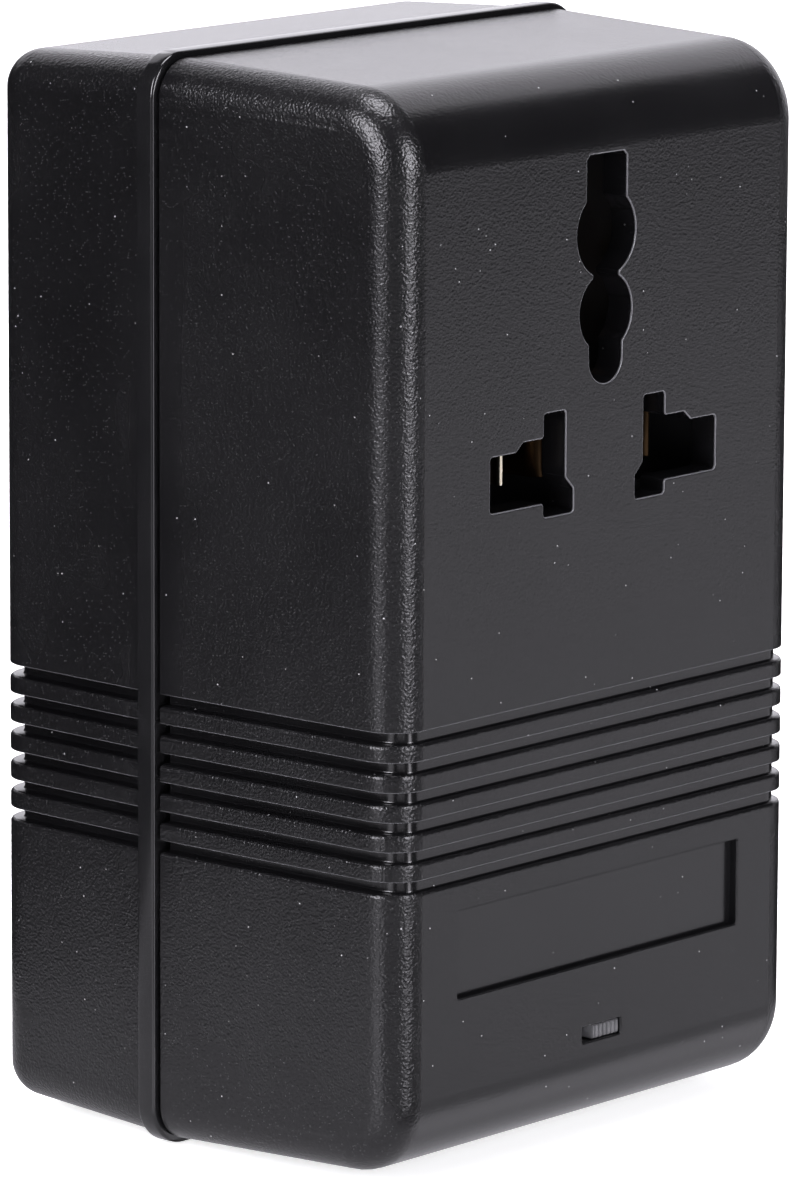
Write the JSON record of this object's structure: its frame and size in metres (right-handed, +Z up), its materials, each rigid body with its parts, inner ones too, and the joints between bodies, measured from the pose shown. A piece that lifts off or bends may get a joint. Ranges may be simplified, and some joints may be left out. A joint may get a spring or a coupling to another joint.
{
  "type": "travel voltage converter",
  "caption": "Upright black two-shell travel voltage converter with a universal mains socket, grip grooves, a recessed voltage selector and a rear mains inlet.",
  "frame": {"origin": "on the standing surface, under the middle of the case's box", "axes": "+Z up, front face with the socket towards -Y, +X to the right seen from the front"},
  "size_m": [0.0542, 0.0458, 0.093],
  "materials": {
    "case_plastic": "fine spark-eroded grain, satin black",
    "screw_steel": "zinc plated",
    "carrier_plastic": "moulded, black",
    "contact_brass": "stamped strip",
    "switch_steel": "pressed, tinned",
    "switch_board": "phenolic sheet",
    "knob_plastic": "moulded grey",
    "inlet_plastic": "moulded black",
    "pin_nickel": "nickel plated",
    "core_steel": "varnished laminations",
    "bobbin_nylon": "natural nylon",
    "winding_copper": "enamelled copper wire",
    "winding_tape": "polyester tape",
    "fuse_body": "moulded",
    "lead_red": "soft PVC",
    "lead_blue": "soft PVC",
    "lead_black": "soft PVC"
  },
  "bodies": {
    "case": {"front_shell": "case_plastic", "rear_shell": "case_plastic", "case_screws": "screw_steel", "carrier_screws": "screw_steel", "selector_screws": "screw_steel", "contact_carrier": "carrier_plastic", "line_contact": "contact_brass", "neutral_contact": "contact_brass", "earth_contact": "contact_brass", "selector_terminals": "contact_brass", "selector_frame": "switch_steel", "core_clip": "switch_steel", "selector_base": "switch_board", "inlet_housing": "inlet_plastic", "inlet_pins": "pin_nickel", "bobbin_pins": "pin_nickel", "core_e_stack": "core_steel", "core_i_stack": "core_steel", "bobbin": "bobbin_nylon", "input_winding": "winding_copper", "output_winding": "winding_copper", "winding_tape": "winding_tape", "thermal_fuse": "fuse_body", "inlet_leads": "lead_red", "output_leads": "lead_blue", "selector_leads": "lead_black"},
    "selector": {"selector_knob": "knob_plastic", "selector_bridges": "contact_brass"}
  },
  "joints": [
    {"name": "selector_slide", "type": "slide", "parent": "case", "child": "selector", "axis": [-1, 0, 0], "range_m": [0, 0.0015]}
  ]
}
